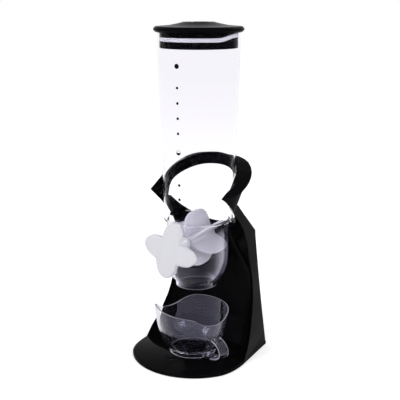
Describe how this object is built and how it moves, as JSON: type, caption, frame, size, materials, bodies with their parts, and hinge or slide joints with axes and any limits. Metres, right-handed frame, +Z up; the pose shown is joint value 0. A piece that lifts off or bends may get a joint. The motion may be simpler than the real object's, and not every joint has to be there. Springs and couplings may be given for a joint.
{
  "type": "countertop cereal dispenser",
  "caption": "Countertop dry-food dispenser: clear tapered canister in a black stand with a tilted collar, a knob-turned paddle wheel, a lift-off lid and a clear cup with a finger loop.",
  "frame": {"origin": "middle of the footprint, on the surface the dispenser stands on", "axes": "+Z up, the front with the knob faces -Y, +X is to the right of a viewer who faces the front"},
  "size_m": [0.1498, 0.1474, 0.42],
  "materials": {
    "gloss_black": "glossy",
    "satin_black": "satin",
    "clear": "clear, glossy",
    "ink": "printed, matt",
    "translucent_silicone": "milky, soft",
    "grey_silicone": "soft, matt",
    "knob_grey": "satin",
    "white_plastic": "satin",
    "steel": "brushed",
    "rubber": "matt"
  },
  "bodies": {
    "stand": {"stand_shell": "gloss_black", "rear_cover": "satin_black", "base_plate": "satin_black", "foot_pad_1": "rubber", "foot_pad_2": "rubber", "foot_pad_3": "rubber", "foot_pad_4": "rubber", "base_screw_1": "steel", "base_screw_2": "steel", "base_screw_3": "steel", "base_screw_4": "steel"},
    "canister": {"canister": "clear", "level_mark_1": "ink", "level_mark_2": "ink", "level_mark_3": "ink", "level_mark_4": "ink", "level_mark_5": "ink", "level_mark_6": "ink", "level_mark_7": "ink", "level_mark_8": "ink", "front_bush": "white_plastic", "rear_bush": "white_plastic"},
    "lid": {"lid_cap": "satin_black", "lid_plug": "satin_black", "lid_seal": "translucent_silicone"},
    "wheel": {"paddle_wheel": "grey_silicone", "wheel_core": "white_plastic", "drive_shaft": "steel", "knob": "knob_grey"},
    "cup": {"portion_cup": "clear"}
  },
  "joints": [
    {"name": "canister_lift", "type": "slide", "parent": "stand", "child": "canister", "axis": [0, 0, 1], "range_m": [0, 0.12]},
    {"name": "lid_lift", "type": "slide", "parent": "canister", "child": "lid", "axis": [0, 0, 1], "range_m": [0, 0.06]},
    {"name": "wheel_spin", "type": "hinge", "parent": "canister", "child": "wheel", "pos_m": [0, 0.01775, 0.1525], "axis": [0, 1, 0], "continuous": true},
    {"name": "cup_slide", "type": "slide", "parent": "stand", "child": "cup", "axis": [0, -1, 0], "range_m": [0, 0.12]}
  ]
}
